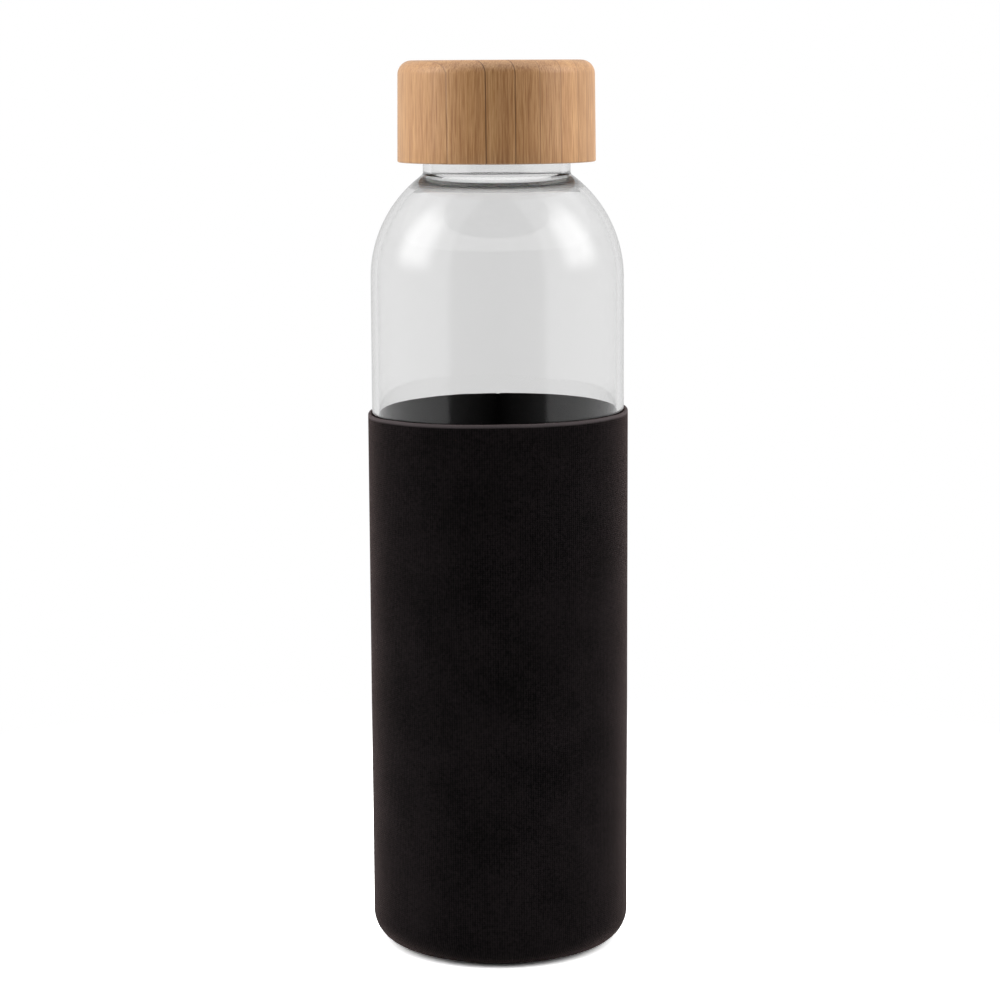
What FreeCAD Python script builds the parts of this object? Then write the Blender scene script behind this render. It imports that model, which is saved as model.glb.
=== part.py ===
"""Glass water bottle: a blown bottle with a screw neck, a turned bamboo cap and a sewn sleeve.

Millimetres, +Z up. The origin is the middle of the sleeve's underside, where the bottle stands.
The sleeve is a thin foam-rubber sheet with knit faces, butted and sewn up the back (+Y) and sewn
to a round base. The glass stands in it and lifts out. The cap is glued up from bamboo strips,
turned, and holds a ribbed plastic liner whose thread runs on the neck; a silicone ring lies
between the liner's ceiling and the glass rim.
"""
import FreeCAD, Part
import Sketcher
import math
import os
import re

# Driving dimensions: name, value, meaning.
DIMENSIONS = [
    ("glass_radius", 32.0, "outside of the straight body, and of the domed shoulder"),
    ("glass_wall", 1.7, "body and shoulder wall"),
    ("glass_floor", 4.0, "floor thickness beside the heel"),
    ("floor_crown", 1.2, "rise of the inner floor at its middle"),
    ("punt_depth", 2.0, "hollow under the base"),
    ("foot_width", 4.5, "flat ring that the glass stands on"),
    ("heel_radius", 7.0, "outer rounding of the heel"),
    ("inner_heel_radius", 5.5, "inner rounding of the heel"),
    ("body_height", 170.4, "foot to the centre of the domed shoulder"),
    ("neck_height", 20.36, "where the neck leaves the shoulder, to the rim"),
    ("neck_radius", 18.6, "outside of the neck, at the thread's root"),
    ("neck_wall", 2.1, "neck wall"),
    ("neck_fillet", 1.2, "outside hollow where the neck meets the shoulder"),
    ("throat_round", 3.0, "inside rounding where the neck meets the shoulder"),
    ("lip_round", 0.8, "rounding of both edges of the rim"),
    ("thread_pitch", 4.23, "lead of the single-start thread, six to the inch"),
    ("thread_turns", 1.5, "turns of ridge on the neck and in the liner"),
    ("thread_depth", 1.4, "height of the glass ridge"),
    ("thread_root", 2.4, "width of the glass ridge at the neck"),
    ("thread_crest", 1.0, "width of the glass ridge at its top"),
    ("thread_drop", 11.2, "rim down to the lower end of the glass ridge"),
    ("thread_gap", 0.35, "radial running clearance of both ridges"),
    ("flank_gap", 0.15, "axial gap between the bearing flanks"),
    ("liner_crest", 0.9, "width of the liner's ridge at its top"),
    ("liner_root", 2.2, "width of the liner's ridge at its wall"),
    ("liner_wall", 1.2, "wall of the liner"),
    ("liner_ceiling", 1.2, "top plate of the liner"),
    ("liner_recess", 0.8, "liner's lower edge, up from the cap's lower edge"),
    ("rib_height", 0.4, "glue ribs on the outside of the liner"),
    ("rib_width", 1.2, "width of a glue rib"),
    ("rib_margin", 2.5, "plain band above and below the glue ribs"),
    ("liner_fit", 0.1, "radial gap between the ribs and the cap's bore"),
    ("bead_height", 0.5, "bead inside the liner that keeps the gasket up"),
    ("bead_gap", 0.1, "gap between the bead and the gasket"),
    ("glue_thickness", 0.3, "glue between the liner and the cap"),
    ("glue_radius", 17.0, "spread of the glue"),
    ("gasket_thickness", 1.5, "silicone ring"),
    ("gasket_width", 4.5, "silicone ring, across its section"),
    ("gasket_gap", 0.3, "silicone ring to the liner's bore"),
    ("gasket_round", 0.25, "rounding of the silicone ring's edges"),
    ("cap_wall", 2.9, "bamboo round the liner, at the cap's lower edge"),
    ("cap_draft", 0.2, "loss of radius up to the top"),
    ("cap_height", 25.3, "cap, overall"),
    ("cap_round", 3.5, "rounding of the cap's top edge"),
    ("cap_edge", 0.4, "rounding of the cap's lower edge"),
    ("cap_plate", 5.0, "bamboo above the liner"),
    ("strip_thickness", 6.1, "one bamboo strip"),
    ("strip_offset", 2.0, "glue line nearest the middle, from the axis"),
    ("strip_angle", 35.0, "normal of the glue lines, from +X"),
    ("strip_least", 1.0, "thinner strips stay part of their neighbour"),
    ("sleeve_thickness", 0.95, "sleeve sheet, stretched over the glass"),
    ("sleeve_fit", 0.12, "gap between the sleeve and the glass"),
    ("sleeve_height", 137.8, "underside to the cut top edge"),
    ("sleeve_edge", 0.3, "softened corners of the cut top edge"),
    ("side_seam_gap", 0.25, "butt joint up the back"),
    ("base_seam_radius", 24.7, "butt joint round the base"),
    ("base_seam_gap", 0.15, "butt joint round the base"),
    ("seam_band", 2.3, "half width of the pulled-in band along the base seam"),
    ("seam_depth", 0.35, "depth of that band"),
    ("stitch_thickness", 0.4, "sewing thread"),
    ("stitch_sink", 0.1, "middle of the thread below the sheet's surface, up the back"),
    ("stitch_length", 4.0, "one stitch across a seam"),
    ("stitch_pitch", 2.5, "from one stitch to the next"),
    ("stitch_margin", 2.5, "last stitch down from the sleeve's top edge"),
]
NAMES = re.compile(r"\b(" + "|".join(name for name, _, _ in DIMENSIONS) + r")\b")

# Places shared between pieces, from the dimensions above.
FOOT = "sleeve_thickness"
GLASS_HEIGHT = "(body_height + sqrt(glass_radius^2 - neck_radius^2) + neck_height)"
RIM = f"({FOOT} + {GLASS_HEIGHT})"
MOUTH_RADIUS = "(neck_radius - neck_wall)"
LINER_BORE = "(neck_radius + thread_depth + thread_gap)"
CAP_BORE = f"({LINER_BORE} + liner_wall + rib_height + liner_fit)"
CAP_RADIUS = f"({CAP_BORE} + cap_wall)"
LINER_TOP = f"({RIM} + gasket_thickness + liner_ceiling)"
CAP_TOP = f"({LINER_TOP} + glue_thickness + cap_plate)"
CAP_BASE = f"({CAP_TOP} - cap_height)"
SLEEVE_BORE = "(glass_radius + sleeve_fit)"
SLEEVE_RADIUS = f"({SLEEVE_BORE} + sleeve_thickness)"
HEEL_CENTRE = "(glass_radius - heel_radius)"
HEEL_HEIGHT = f"({FOOT} + heel_radius)"
SLEEVE_HEEL = "(heel_radius + sleeve_fit + sleeve_thickness)"

GLUE_RIBS = 18
# Degrees down round the heel that the back seam is stitched, short of the base seam's band.
HEEL_SEAM_ANGLE = 60


def bound(expression):
    """The expression with each dimension's name pointing at its cell."""
    return NAMES.sub(r"dims.\1", expression)


def value(expression):
    return float(sheet.evalExpression(bound(expression)))


def bind(obj, **expressions):
    """Binds an object's sizes to the sheet and gives them their present values."""
    for prop, expression in expressions.items():
        obj.setExpression(prop, bound(expression))


def lift(obj, height):
    """Stands an object at a height that follows the sheet."""
    obj.setExpression(".Placement.Base.z", bound(height))


def origin_plane(body, role):
    return next(f for f in body.Origin.OriginFeatures if f.Role == role)


def arc_through(start, end, radius, turn):
    """Short arc from start to end, and its direction: its two ends are 1 and 2 when it runs left."""
    middle = (start + end) * 0.5
    chord = end - start
    rise = math.sqrt(max(radius ** 2 - chord.Length ** 2 / 4, 0))
    left = FreeCAD.Vector(-chord.y, chord.x, 0).normalize()
    centre = middle + left * (rise if turn == "left" else -rise)
    first, last = (start, end) if turn == "left" else (end, start)
    angles = [math.atan2(p.y - centre.y, p.x - centre.x) for p in (first, last)]
    circle = Part.Circle(centre, FreeCAD.Vector(0, 0, 1), radius)
    return Part.ArcOfCircle(circle, *angles)


def outline_sketch(body, name, corners, plane="XZ_Plane"):
    """A closed sketch. Each corner is (x, y) or (x, y, radius, turn), as expressions, where the
    last two make the edge that arrives at that corner an arc turning left or right."""
    sketch = body.newObject("Sketcher::SketchObject", name)
    sketch.AttachmentSupport = [(origin_plane(body, plane), "")]
    sketch.MapMode = "FlatFace"
    points = [FreeCAD.Vector(value(c[0]), value(c[1]), 0) for c in corners]
    ends = []
    for i, corner in enumerate(corners):
        start, end = points[i - 1], points[i]
        if len(corner) == 2:
            sketch.addGeometry(Part.LineSegment(start, end))
            ends.append((1, 2))
            continue
        radius, turn = corner[2:]
        sketch.addGeometry(arc_through(start, end, value(radius), turn))
        ends.append((1, 2) if turn == "left" else (2, 1))
        sketch.addConstraint(Sketcher.Constraint("Radius", i, value(radius)))
        sketch.setExpression(f"Constraints[{sketch.ConstraintCount - 1}]", bound(radius))
    for i, corner in enumerate(corners):
        after = (i + 1) % len(corners)
        sketch.addConstraint(
            Sketcher.Constraint("Coincident", i, ends[i][1], after, ends[after][0]))
        for kind, axis, place in (("DistanceX", -2, corner[0]), ("DistanceY", -1, corner[1])):
            if place == "0":
                sketch.addConstraint(Sketcher.Constraint("PointOnObject", i, ends[i][1], axis))
                continue
            sketch.addConstraint(Sketcher.Constraint(kind, -1, 1, i, ends[i][1], value(place)))
            sketch.setExpression(f"Constraints[{sketch.ConstraintCount - 1}]", bound(place))
    return sketch


def revolve(body, name, corners):
    sketch = outline_sketch(body, name + "_outline", corners)
    turned = body.newObject("PartDesign::Revolution", name)
    turned.Profile = sketch
    turned.ReferenceAxis = (sketch, ["V_Axis"])
    turned.Angle = 360
    return turned


def helical_ridge(body, name, corners):
    """A thread ridge that starts over +X and climbs anticlockwise."""
    sketch = outline_sketch(body, name + "_section", corners)
    ridge = body.newObject("PartDesign::AdditiveHelix", name)
    ridge.Profile = sketch
    ridge.ReferenceAxis = (sketch, ["V_Axis"])
    ridge.Mode = "pitch-turns-angle"
    bind(ridge, Pitch="thread_pitch", Turns="thread_turns")
    return ridge


def dome_meets_neck(shell_radius, neck, rounding):
    """Where a rounding joins a dome (centred on the axis at body_height) and a neck cylinder:
    the rounding's centre height, then the x and z of its end on the dome."""
    centre = (f"(body_height + sqrt(({shell_radius} + {rounding})^2"
              f" - ({neck} + {rounding})^2))")
    share = f"({shell_radius} / ({shell_radius} + {rounding}))"
    on_dome = (f"{share} * ({neck} + {rounding})",
               f"body_height + {share} * ({centre} - body_height)")
    return centre, on_dome


def make_glass_bottle():
    body = doc.addObject("PartDesign::Body", "glass_bottle")
    inner = "(glass_radius - glass_wall)"
    neck_z, neck_foot = dome_meets_neck("glass_radius", "neck_radius", "neck_fillet")
    throat_z, throat_foot = dome_meets_neck(inner, MOUTH_RADIUS, "throat_round")
    foot_inner = f"({HEEL_CENTRE} - foot_width)"
    punt_sphere = f"(({foot_inner}^2 + punt_depth^2) / (2 * punt_depth))"
    floor_edge = f"({inner} - inner_heel_radius)"
    floor_sphere = f"(({floor_edge}^2 + floor_crown^2) / (2 * floor_crown))"
    revolve(body, "glass_wall_turned", [
        ("0", "punt_depth"),
        (foot_inner, "0", punt_sphere, "right"),
        (HEEL_CENTRE, "0"),
        ("glass_radius", "heel_radius", "heel_radius", "left"),
        ("glass_radius", "body_height"),
        (*neck_foot, "glass_radius", "left"),
        ("neck_radius", neck_z, "neck_fillet", "right"),
        ("neck_radius", f"{GLASS_HEIGHT} - lip_round"),
        ("neck_radius - lip_round", GLASS_HEIGHT, "lip_round", "left"),
        (f"{MOUTH_RADIUS} + lip_round", GLASS_HEIGHT),
        (MOUTH_RADIUS, f"{GLASS_HEIGHT} - lip_round", "lip_round", "left"),
        (MOUTH_RADIUS, throat_z),
        (*throat_foot, "throat_round", "left"),
        (inner, "body_height", inner, "right"),
        (inner, "glass_floor + inner_heel_radius"),
        (floor_edge, "glass_floor", "inner_heel_radius", "right"),
        ("0", "glass_floor + floor_crown", floor_sphere, "left"),
    ])
    low = f"({GLASS_HEIGHT} - thread_drop)"
    helical_ridge(body, "glass_thread", [
        ("neck_radius - neck_wall / 4", f"{low} - thread_root / 2"),
        ("neck_radius", f"{low} - thread_root / 2"),
        ("neck_radius + thread_depth", f"{low} - thread_crest / 2"),
        ("neck_radius + thread_depth", f"{low} + thread_crest / 2"),
        ("neck_radius", f"{low} + thread_root / 2"),
        ("neck_radius - neck_wall / 4", f"{low} + thread_root / 2"),
    ])
    lift(body, FOOT)
    return body


def make_sleeve_wall():
    body = doc.addObject("PartDesign::Body", "sleeve_wall")
    lip = "(base_seam_radius + base_seam_gap / 2)"
    heel_bore = "(heel_radius + sleeve_fit)"
    lip_top = f"({HEEL_HEIGHT} - {heel_bore})"
    band_edge = f"({HEEL_CENTRE} + sqrt({SLEEVE_HEEL}^2 - ({HEEL_HEIGHT} - seam_depth)^2))"
    revolve(body, "sleeve_sheet", [
        (lip, "seam_depth"),
        (band_edge, "seam_depth"),
        (SLEEVE_RADIUS, HEEL_HEIGHT, SLEEVE_HEEL, "left"),
        (SLEEVE_RADIUS, "sleeve_height - sleeve_edge"),
        (f"{SLEEVE_RADIUS} - sleeve_edge", "sleeve_height", "sleeve_edge", "left"),
        (f"{SLEEVE_BORE} + sleeve_edge", "sleeve_height"),
        (SLEEVE_BORE, "sleeve_height - sleeve_edge", "sleeve_edge", "left"),
        (SLEEVE_BORE, HEEL_HEIGHT),
        (HEEL_CENTRE, lip_top, heel_bore, "right"),
        (lip, lip_top),
    ])
    slit = outline_sketch(body, "side_seam_line", [
        ("-side_seam_gap / 2", "base_seam_radius / 2"),
        ("side_seam_gap / 2", "base_seam_radius / 2"),
        ("side_seam_gap / 2", f"{SLEEVE_RADIUS} * 1.2"),
        ("-side_seam_gap / 2", f"{SLEEVE_RADIUS} * 1.2"),
    ], plane="XY_Plane")
    cut = body.newObject("PartDesign::Pocket", "side_seam")
    cut.Profile = slit
    cut.Type = "ThroughAll"
    cut.Midplane = True
    return body


def make_sleeve_base():
    body = doc.addObject("PartDesign::Body", "sleeve_base")
    edge = "(base_seam_radius - base_seam_gap / 2)"
    revolve(body, "base_disc", [
        ("0", "0"),
        ("base_seam_radius - seam_band", "0"),
        ("base_seam_radius - seam_band + seam_depth", "seam_depth"),
        (edge, "seam_depth"),
        (edge, FOOT),
        ("0", FOOT),
    ])
    return body


def make_side_stitches():
    """Threads that bridge the butt joint up the back, round the heel first and then straight up."""
    stitches = []
    heel = f"({SLEEVE_HEEL} - stitch_sink)"

    def stitch(radius, height):
        thread = doc.addObject("Part::Torus", "side_stitch")
        sweep = f"(stitch_length / ({radius}) * 180 / pi)"
        bind(thread, Radius1=radius, Radius2="stitch_thickness / 2", Angle3=sweep)
        thread.setExpression(".Placement.Rotation.Angle", bound(f"90 - {sweep} / 2"))
        lift(thread, height)
        stitches.append(thread)

    step = math.degrees(value(f"stitch_pitch / {heel}"))
    for i in range(int(HEEL_SEAM_ANGLE / step), 0, -1):
        stitch(f"{HEEL_CENTRE} + {heel} * cos({i * step})",
               f"{HEEL_HEIGHT} - {heel} * sin({i * step})")
    run = value(f"sleeve_height - stitch_margin - {HEEL_HEIGHT}")
    for i in range(int(run / value("stitch_pitch")) + 1):
        stitch(f"{SLEEVE_RADIUS} - stitch_sink", f"{HEEL_HEIGHT} + {i} * stitch_pitch")
    return group("side_seam_stitches", stitches)


def make_base_stitches():
    """Threads across the butt joint round the base, lying in its pulled-in band."""
    stitches = []
    count = round(2 * math.pi * value("base_seam_radius / stitch_pitch"))
    inner_end = "(base_seam_radius - stitch_length / 2)"
    for i in range(count):
        angle = 360 * (i + 0.5) / count
        thread = doc.addObject("Part::Cylinder", "base_stitch")
        bind(thread, Radius="stitch_thickness / 2", Height="stitch_length")
        turn = FreeCAD.Rotation(FreeCAD.Vector(0, 0, 1), angle)
        lay_down = FreeCAD.Rotation(FreeCAD.Vector(0, 1, 0), 90)
        thread.Placement = FreeCAD.Placement(FreeCAD.Vector(), turn * lay_down)
        thread.setExpression(".Placement.Base.x", bound(f"{inner_end} * cos({angle})"))
        thread.setExpression(".Placement.Base.y", bound(f"{inner_end} * sin({angle})"))
        lift(thread, "seam_depth")
        stitches.append(thread)
    return group("base_seam_stitches", stitches)


def group(name, members):
    compound = doc.addObject("Part::Compound", name)
    compound.Links = members
    return compound


def make_cap_blank():
    """The whole turned cap, before it is parted into the strips that it was glued up from."""
    body = doc.addObject("PartDesign::Body", "cap_blank")
    top_radius = f"({CAP_RADIUS} - cap_draft)"
    ceiling = "(cap_height - cap_plate)"
    revolve(body, "cap_turned", [
        ("0", ceiling),
        (CAP_BORE, ceiling),
        (CAP_BORE, "0"),
        (f"{CAP_RADIUS} - cap_edge", "0"),
        (CAP_RADIUS, "cap_edge", "cap_edge", "left"),
        (top_radius, "cap_height - cap_round"),
        (f"{top_radius} - cap_round", "cap_height", "cap_round", "left"),
        ("0", "cap_height"),
    ])
    lift(body, CAP_BASE)
    return body


def make_cap_strips(blank):
    """The blank parted along its glue lines: one piece for each strip, from one side to the other."""
    reach = value(f"{CAP_RADIUS} - strip_least")
    pitch, offset = value("strip_thickness"), value("strip_offset")
    lowest = math.ceil((-reach - offset) / pitch)
    highest = math.floor((reach - offset) / pitch)
    side = f"(3 * {CAP_RADIUS})"
    strips = []
    for i in range(lowest - 1, highest + 1):
        start = f"-{side} / 2" if i < lowest else f"(strip_offset + {i} * strip_thickness)"
        end = f"{side} / 2" if i == highest else f"(strip_offset + {i + 1} * strip_thickness)"
        slab = doc.addObject("Part::Box", "strip_slab")
        bind(slab, Length=f"{end} - ({start})", Width=side, Height="2 * cap_height")
        slab.setExpression(".Placement.Rotation.Angle", bound("strip_angle"))
        along = f"({start}) * {{along}} + {side} / 2 * {{across}}"
        slab.setExpression(".Placement.Base.x", bound(
            along.format(along="cos(strip_angle * 1deg)", across="sin(strip_angle * 1deg)")))
        slab.setExpression(".Placement.Base.y", bound(
            along.format(along="sin(strip_angle * 1deg)", across="-cos(strip_angle * 1deg)")))
        lift(slab, f"{CAP_BASE} - cap_height / 2")
        strip = doc.addObject("Part::Common", f"cap_strip_{len(strips) + 1}")
        strip.Base, strip.Tool = blank, slab
        strips.append(strip)
    return strips


def make_thread_liner():
    body = doc.addObject("PartDesign::Body", "thread_liner")
    outer = f"({LINER_BORE} + liner_wall)"
    bottom = "liner_recess"
    top = f"({LINER_TOP} - {CAP_BASE})"
    ceiling = f"({top} - liner_ceiling)"
    bead_top = f"({ceiling} - gasket_thickness - bead_gap)"
    bead_radius = f"({LINER_BORE} - bead_height)"
    revolve(body, "liner_turned", [
        ("0", ceiling),
        (LINER_BORE, ceiling),
        (LINER_BORE, bead_top),
        (bead_radius, f"{bead_top} - bead_height"),
        (LINER_BORE, f"{bead_top} - 2 * bead_height"),
        (LINER_BORE, bottom),
        (outer, bottom),
        (outer, top),
        ("0", top),
    ])
    rib_sketch = outline_sketch(body, "rib_foot", [
        (f"{outer} - liner_wall / 3", "-rib_width / 2"),
        (f"{outer} + rib_height", "-rib_width / 3"),
        (f"{outer} + rib_height", "rib_width / 3"),
        (f"{outer} - liner_wall / 3", "rib_width / 2"),
    ], plane="XY_Plane")
    rib_sketch.setExpression(".AttachmentOffset.Base.z", bound("liner_recess + rib_margin"))
    rib = body.newObject("PartDesign::Pad", "glue_rib")
    rib.Profile = rib_sketch
    bind(rib, Length=f"{top} - liner_recess - 2 * rib_margin")
    ribs = body.newObject("PartDesign::PolarPattern", "glue_ribs")
    ribs.Originals = [rib]
    ribs.Axis = (rib_sketch, ["N_Axis"])
    ribs.Angle = 360
    ribs.Occurrences = GLUE_RIBS
    body.Tip = ribs
    # Half widths of the two ridges where each is widest within reach of the other.
    glass_slope = "((thread_root - thread_crest) / 2 / thread_depth)"
    meeting = f"(thread_root / 2 - {glass_slope} * thread_gap + liner_crest / 2)"
    low = f"({RIM} - thread_drop - {meeting} - flank_gap - {CAP_BASE})"
    crest = "(neck_radius + thread_gap)"
    helical_ridge(body, "liner_thread", [
        (f"{LINER_BORE} + liner_wall / 3", f"{low} - liner_root / 2"),
        (f"{LINER_BORE} + liner_wall / 3", f"{low} + liner_root / 2"),
        (LINER_BORE, f"{low} + liner_root / 2"),
        (crest, f"{low} + liner_crest / 2"),
        (crest, f"{low} - liner_crest / 2"),
        (LINER_BORE, f"{low} - liner_root / 2"),
    ])
    lift(body, CAP_BASE)
    return body


def make_liner_glue():
    glue = doc.addObject("Part::Cylinder", "liner_glue")
    bind(glue, Radius="glue_radius", Height="glue_thickness")
    lift(glue, LINER_TOP)
    return glue


def make_cap_gasket():
    body = doc.addObject("PartDesign::Body", "cap_gasket")
    outer = f"({LINER_BORE} - gasket_gap)"
    inner = f"({outer} - gasket_width)"
    ring = revolve(body, "gasket_ring", [
        (inner, "0"),
        (outer, "0"),
        (outer, "gasket_thickness"),
        (inner, "gasket_thickness"),
    ])
    doc.recompute()
    rounded = body.newObject("PartDesign::Fillet", "gasket_rounded")
    circles = [f"Edge{i + 1}" for i, e in enumerate(ring.Shape.Edges)
               if isinstance(e.Curve, Part.Circle)]
    rounded.Base = (ring, circles)
    bind(rounded, Radius="gasket_round")
    lift(body, RIM)
    return body


def write_sheet():
    for row, (name, size, meaning) in enumerate(DIMENSIONS, start=1):
        sheet.set(f"A{row}", name)
        sheet.set(f"B{row}", str(size))
        sheet.set(f"C{row}", meaning)
        sheet.setAlias(f"B{row}", name)
    doc.recompute()


def check(objects, pieces):
    """Stops before anything is written if an object failed or a piece isn't whole."""
    for obj in objects:
        if {"Invalid", "Error"} & set(obj.State):
            raise RuntimeError(f"{obj.Name} failed: {obj.State}")
    for piece in pieces:
        shape = piece.Shape
        if shape.isNull() or not shape.isValid() or not shape.Solids:
            raise RuntimeError(f"{piece.Label} has no whole shape")


doc = FreeCAD.newDocument("glass_water_bottle")
sheet = doc.addObject("Spreadsheet::Sheet", "dims")
write_sheet()

nodes = [make_sleeve_wall(), make_sleeve_base(), make_side_stitches(), make_base_stitches()]
nodes += [make_glass_bottle(), make_cap_gasket()]
nodes += make_cap_strips(make_cap_blank())
nodes += [make_thread_liner(), make_liner_glue()]
doc.recompute()
check(doc.Objects, nodes)

os.makedirs("parts", exist_ok=True)
for node in nodes:
    node.Shape.exportStep(f"parts/{node.Label}.step")
    box = node.Shape.BoundBox
    print(f"{node.Label}: {len(node.Shape.Solids)} solids, {node.Shape.Volume:.1f} mm3, "
          f"z {box.ZMin:.2f} to {box.ZMax:.2f}")
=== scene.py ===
import math
import bpy
from mathutils import Matrix, Vector


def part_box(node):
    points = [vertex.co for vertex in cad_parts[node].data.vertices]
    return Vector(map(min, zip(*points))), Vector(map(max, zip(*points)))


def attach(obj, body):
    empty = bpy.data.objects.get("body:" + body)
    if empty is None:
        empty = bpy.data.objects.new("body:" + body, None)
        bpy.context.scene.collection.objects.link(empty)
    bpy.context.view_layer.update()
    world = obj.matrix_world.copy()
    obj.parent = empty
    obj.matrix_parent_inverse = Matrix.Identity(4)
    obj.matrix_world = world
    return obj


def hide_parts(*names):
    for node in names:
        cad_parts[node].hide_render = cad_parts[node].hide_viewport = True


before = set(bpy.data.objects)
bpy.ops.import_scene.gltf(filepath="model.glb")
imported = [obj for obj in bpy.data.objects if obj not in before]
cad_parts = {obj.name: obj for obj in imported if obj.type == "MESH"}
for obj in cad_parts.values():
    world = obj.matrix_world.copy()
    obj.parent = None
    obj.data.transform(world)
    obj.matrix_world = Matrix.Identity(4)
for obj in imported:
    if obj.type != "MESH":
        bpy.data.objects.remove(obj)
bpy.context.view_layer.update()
mm = 0.001


def linear(hexColour):
    # sRGB hex to the linear values that Blender's colour sockets take
    rgb = [int(hexColour[i:i + 2], 16) / 255 for i in (1, 3, 5)]
    return [c / 12.92 if c <= 0.04045 else ((c + 0.055) / 1.055) ** 2.4 for c in rgb] + [1]


def addNode(tree, kind, settings=None, **inputs):
    # settings: the node's own properties. inputs: in_NAME or in_NUMBER, given as a value, a socket,
    # or a node, which stands for its first output
    node = tree.nodes.new("ShaderNode" + kind)
    for key, what in (settings or {}).items():
        setattr(node, key, what)
    for key, what in inputs.items():
        name = key[3:].replace("_", " ")
        socket = node.inputs[int(name)] if name.isdigit() else node.inputs[name]
        if isinstance(what, bpy.types.Node):
            what = what.outputs[0]
        if isinstance(what, bpy.types.NodeSocket):
            tree.links.new(what, socket)
        else:
            socket.default_value = what
    return node


def setStops(ramp, stops):
    # stops of a colour ramp, as (position, colour), from the lowest
    elements = ramp.color_ramp.elements
    for position, colour in stops[1:-1]:
        elements.new(position).color = colour
    for i in (0, -1):
        elements[i].position, elements[i].color = stops[i]


def newMaterial(name, baseHex, **shaderSockets):
    material = bpy.data.materials.new(name)
    material.use_nodes = True
    tree = material.node_tree
    shader = tree.nodes["Principled BSDF"]
    shader.inputs["Base Color"].default_value = linear(baseHex)
    for socket, amount in shaderSockets.items():
        shader.inputs[socket.replace("_", " ")].default_value = amount
    return material, tree, shader


def deselect():
    bpy.ops.object.select_all(action="DESELECT")


def pick(piece):
    deselect()
    piece.select_set(True)
    bpy.context.view_layer.objects.active = piece


def applyModifier(piece, kind, **settings):
    pick(piece)
    modifier = piece.modifiers.new(kind.title(), kind)
    for key, what in settings.items():
        setattr(modifier, key, what)
    bpy.ops.object.modifier_apply(modifier=modifier.name)


def arcTo(outline, centre, end, stepAngle=6.0):
    # carries an outline of (r, z) points round a centre to end, the short way
    start = outline[-1]
    a = math.atan2(start[1] - centre[1], start[0] - centre[0])
    b = math.atan2(end[1] - centre[1], end[0] - centre[0])
    sweep = (b - a + math.pi) % (2 * math.pi) - math.pi
    radius = math.dist(start, centre)
    count = max(2, round(abs(math.degrees(sweep)) / stepAngle))
    for i in range(1, count):
        angle = a + sweep * i / count
        outline.append((centre[0] + radius * math.cos(angle), centre[1] + radius * math.sin(angle)))
    outline.append(end)


def lineTo(outline, end, step=None):
    # a straight run, cut into steps where a later pass needs the points
    start = outline[-1]
    count = max(1, round(math.dist(start, end) / step)) if step else 1
    for i in range(1, count + 1):
        outline.append(tuple(s + (e - s) * i / count for s, e in zip(start, end)))


def bendTo(outline, corner, end, count=10):
    # a curve that leaves and arrives along the lines to a corner
    start = outline[-1]
    for i in range(1, count + 1):
        t = i / count
        outline.append(tuple(a * (1 - t) ** 2 + 2 * b * t * (1 - t) + c * t * t
                             for a, b, c in zip(start, corner, end)))


def turnOutline(name, outline, segments, closed=False):
    # draws the outline in the XZ plane by extruding one vertex, in mm, and spins it round Z
    points = [Vector((r * mm, 0, z * mm)) for r, z in outline]
    if closed:
        points.append(points[0])
    deselect()
    bpy.ops.mesh.primitive_plane_add(size=mm)
    piece = bpy.context.object
    piece.name = piece.data.name = name
    bpy.ops.object.mode_set(mode="EDIT")
    bpy.ops.mesh.merge(type="CENTER")
    bpy.ops.transform.translate(value=points[0])
    for before, after in zip(points, points[1:]):
        bpy.ops.mesh.extrude_vertices_move(TRANSFORM_OT_translate={"value": after - before})
    bpy.ops.mesh.select_all(action="SELECT")
    bpy.ops.mesh.spin(steps=segments, angle=2 * math.pi, center=(0, 0, 0), axis=(0, 0, 1))
    bpy.ops.mesh.select_all(action="SELECT")
    bpy.ops.mesh.remove_doubles(threshold=0.002 * mm)
    bpy.ops.mesh.normals_make_consistent(inside=False)
    bpy.ops.object.mode_set(mode="OBJECT")
    return piece


def finishPiece(piece, body, material, replaced, smoothAngle):
    pick(piece)
    bpy.ops.object.shade_smooth_by_angle(angle=math.radians(smoothAngle))
    piece.data.materials.clear()
    piece.data.materials.append(material)
    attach(piece, body)
    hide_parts(*replaced)
    print("made", piece.name, len(piece.data.polygons), "faces")


def weigh(piece, groupName, weightOf):
    # a vertex group whose weight is worked out from each vertex's place, in mm
    group = piece.vertex_groups.new(name=groupName)
    for vertex in piece.data.vertices:
        weight = weightOf(vertex.co / mm)
        if weight > 0:
            group.add([vertex.index], min(weight, 1.0), "REPLACE")


# where the CAD says things are, in mm
glassLow, glassHigh = (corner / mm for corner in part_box("glass_bottle"))
capLow, capHigh = (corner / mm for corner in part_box("cap_strip_5"))
linerLow, linerHigh = (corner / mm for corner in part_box("thread_liner"))
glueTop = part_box("liner_glue")[1].z / mm
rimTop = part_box("sleeve_wall")[1].z / mm
glassRadius = glassHigh.x


# camera: mm from the bottle's axis and above the table, degrees, mm of lens and film
view = {"distance": 771.1, "height": 223.8, "side": 0.4, "pitch": 8.07, "roll": -0.30, "lens": 109.74, "film": 36}

cameraData = bpy.data.cameras.new("camera")
cameraData.lens = view["lens"]
cameraData.sensor_width = view["film"]
camera = bpy.data.objects.new("camera", cameraData)
bpy.context.scene.collection.objects.link(camera)
turned = Matrix.Rotation(math.radians(90 - view["pitch"]), 4, "X")
rolled = Matrix.Rotation(math.radians(view["roll"]), 4, "Z")
place = Vector((view["side"], -view["distance"], view["height"])) * mm
camera.matrix_world = Matrix.Translation(place) @ turned @ rolled
bpy.context.scene.camera = camera
print("camera set")


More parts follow.
